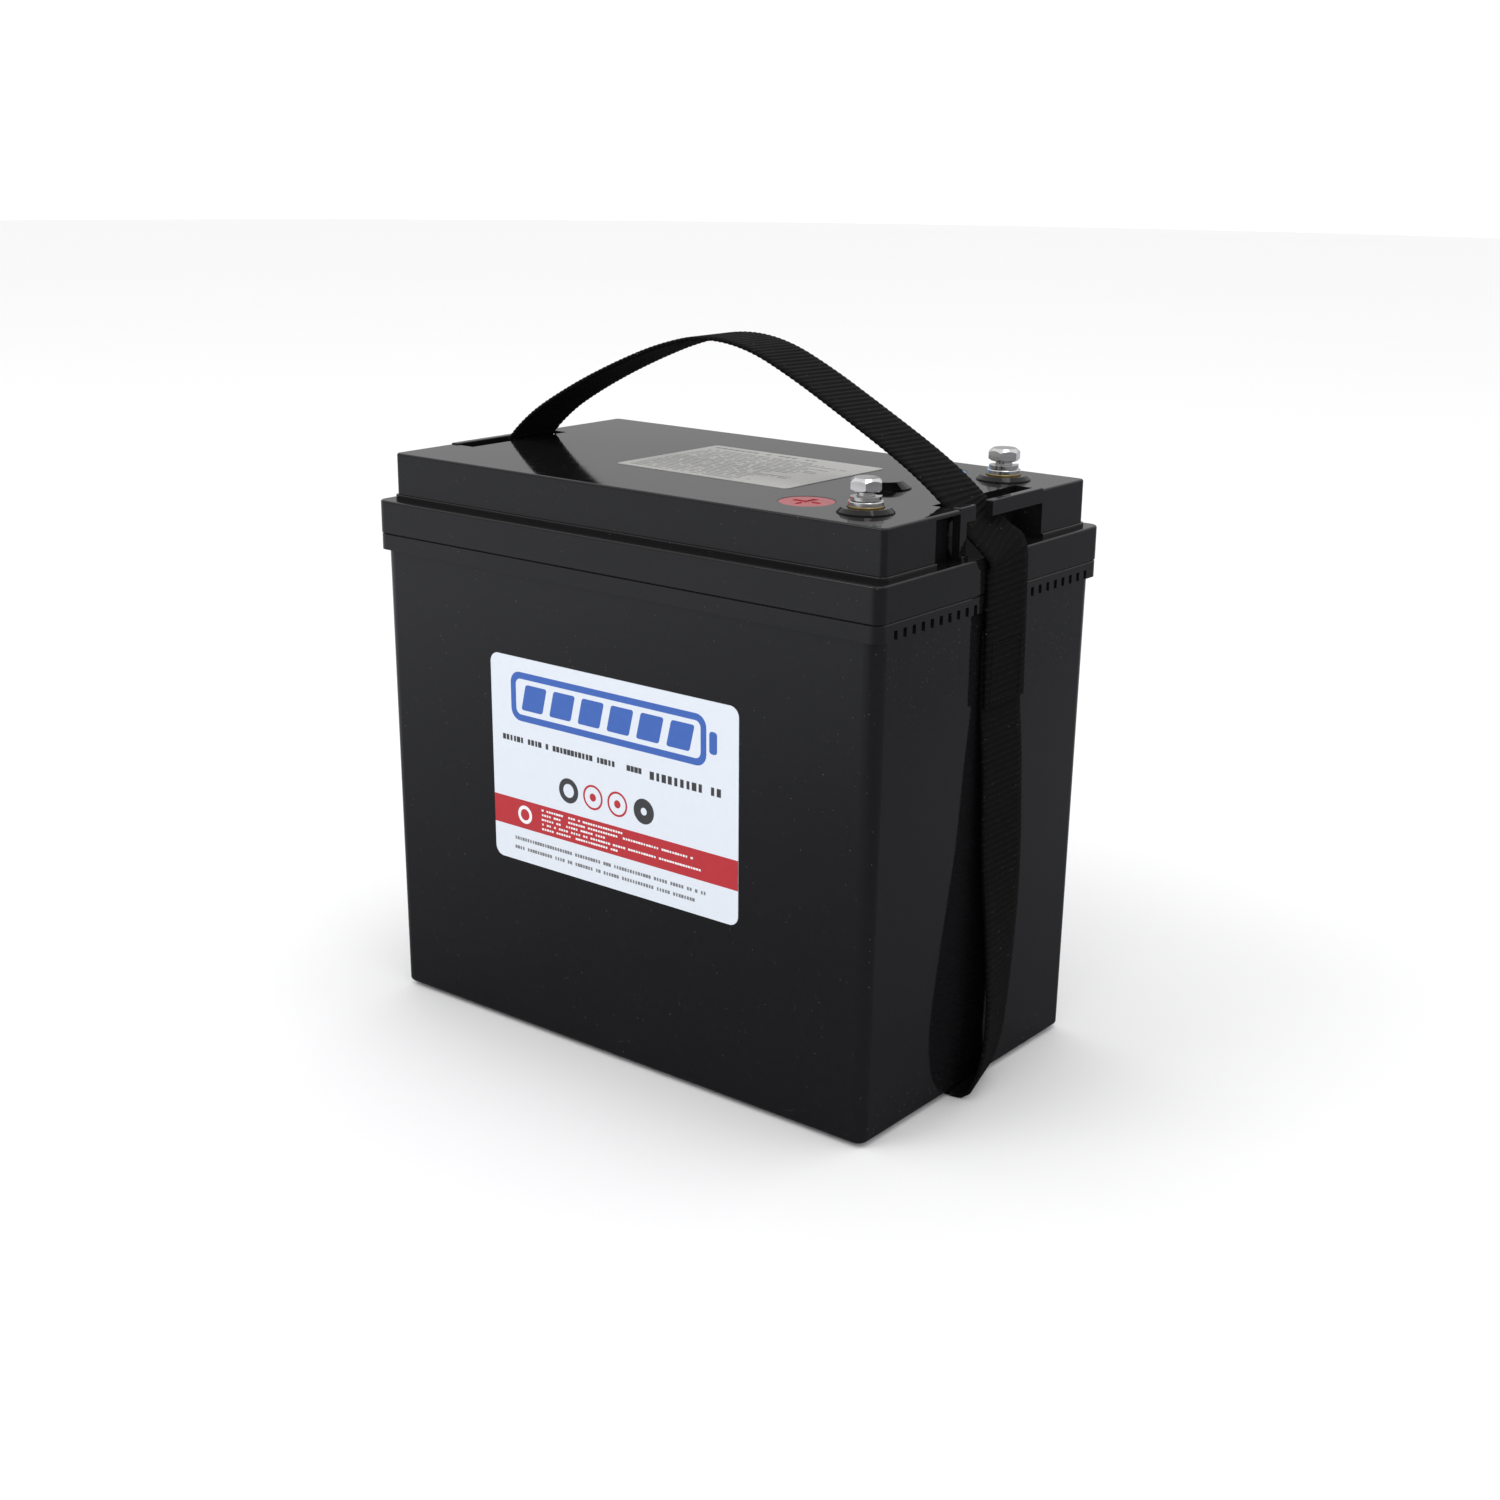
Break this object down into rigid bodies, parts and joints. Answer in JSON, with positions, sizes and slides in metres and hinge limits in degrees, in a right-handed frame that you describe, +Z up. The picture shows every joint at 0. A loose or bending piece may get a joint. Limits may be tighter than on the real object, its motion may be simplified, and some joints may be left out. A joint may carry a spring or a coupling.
{
  "type": "rechargeable battery pack",
  "caption": "Boxy black storage battery with a stepped glued lid, red and blue terminal marks, bolted brass terminals and a webbing carrying handle.",
  "frame": {"origin": "centre of the footprint, on the surface the pack stands on (underside of the webbing that runs under the case)", "axes": "+X along the case towards the terminals, -Y out of the large front label, +Z up"},
  "size_m": [0.2418, 0.138, 0.2595],
  "materials": {
    "case_plastic": "black moulded ABS, glossy",
    "seal_adhesive": "cured adhesive bead",
    "disc_red": "red polarity disc",
    "disc_blue": "blue polarity disc",
    "label_front": "printed polyester label",
    "label_top": "printed data label",
    "brass": "turned brass",
    "tinned_copper": "tinned copper",
    "zinc_steel": "bright zinc plated",
    "seal_rubber": "moulded rubber",
    "webbing": "woven polypropylene webbing",
    "cell": "sleeved steel can filled with electrodes",
    "bracket": "moulded flame-retardant plastic",
    "nickel": "nickel-plated sheet",
    "fibre_board": "glass-fibre board",
    "foam": "closed-cell foam",
    "heat_plate": "plain aluminium",
    "circuit_board": "solder mask",
    "electronics": "moulded component bodies",
    "connector": "natural nylon",
    "wire_black": "silicone insulation",
    "wire_red": "silicone insulation",
    "wire_white": "silicone insulation"
  },
  "bodies": {
    "case": {"container": "case_plastic", "lid": "case_plastic", "seal_bead": "seal_adhesive", "lid_plug": "case_plastic", "disc_positive": "disc_red", "disc_negative": "disc_blue", "label_front": "label_front", "label_top": "label_top", "terminal_insert_positive": "brass", "terminal_seal_positive": "seal_rubber", "terminal_nut_positive": "zinc_steel", "terminal_lug_positive": "tinned_copper", "terminal_insert_negative": "brass", "terminal_seal_negative": "seal_rubber", "terminal_nut_negative": "zinc_steel", "terminal_lug_negative": "tinned_copper", "strap_entry_right": "webbing", "strap_entry_left": "webbing", "strap_lap": "webbing", "strap_side_right": "webbing", "strap_side_left": "webbing", "strap_base_run": "webbing", "cell_group_1": "cell", "cell_group_2": "cell", "cell_group_3": "cell", "cell_group_4": "cell", "cell_bracket_lower_base": "bracket", "cell_bracket_lower_top": "bracket", "cell_bracket_upper_base": "bracket", "cell_bracket_upper_top": "bracket", "bus_lower": "nickel", "bus_middle": "nickel", "bus_upper": "nickel", "bus_negative": "nickel", "bus_positive": "nickel", "board_base": "fibre_board", "board_middle": "fibre_board", "board_top": "fibre_board", "foam_base": "foam", "boards_side": "fibre_board", "foam_side": "foam", "tie_rods": "zinc_steel", "bms_plate": "heat_plate", "bms_board": "circuit_board", "bms_fasteners": "zinc_steel", "bms_switches": "electronics", "bms_connector": "connector", "sense_wires": "wire_white", "lead_positive": "wire_red", "lead_negative": "wire_black", "lead_pack": "wire_black"},
    "handle": {"strap_handle": "webbing"},
    "positive_washers": {"flat_washer_positive": "zinc_steel", "spring_washer_positive": "zinc_steel"},
    "positive_bolt": {"terminal_bolt_positive": "zinc_steel"},
    "negative_washers": {"flat_washer_negative": "zinc_steel", "spring_washer_negative": "zinc_steel"},
    "negative_bolt": {"terminal_bolt_negative": "zinc_steel"}
  },
  "joints": [
    {"name": "handle_swing", "type": "hinge", "parent": "case", "child": "handle", "pos_m": [0, 0, 0.2135], "axis": [0.999, -0.0436, 0], "range_deg": [-60, 60], "deforming": ["strap_entry_right", "strap_entry_left"]},
    {"name": "positive_bolt_turn", "type": "hinge", "parent": "case", "child": "positive_washers", "pos_m": [0.0893, -0.042, 0.2155], "axis": [0, 0, 1], "range_deg": [-504, 2592]},
    {"name": "positive_bolt_lift", "type": "slide", "parent": "positive_washers", "child": "positive_bolt", "axis": [0, 0, 1], "range_m": [-0.00141, 0.00721]},
    {"name": "negative_bolt_turn", "type": "hinge", "parent": "case", "child": "negative_washers", "pos_m": [0.0893, 0.042, 0.2155], "axis": [0, 0, 1], "range_deg": [-432, 2664]},
    {"name": "negative_bolt_lift", "type": "slide", "parent": "negative_washers", "child": "negative_bolt", "axis": [0, 0, 1], "range_m": [-0.00121, 0.00741]}
  ],
  "couplings": [
    {"joint": "positive_bolt_lift", "follows": "positive_bolt_turn", "m_per_rad": 0.00015915},
    {"joint": "negative_bolt_lift", "follows": "negative_bolt_turn", "m_per_rad": 0.00015915}
  ]
}
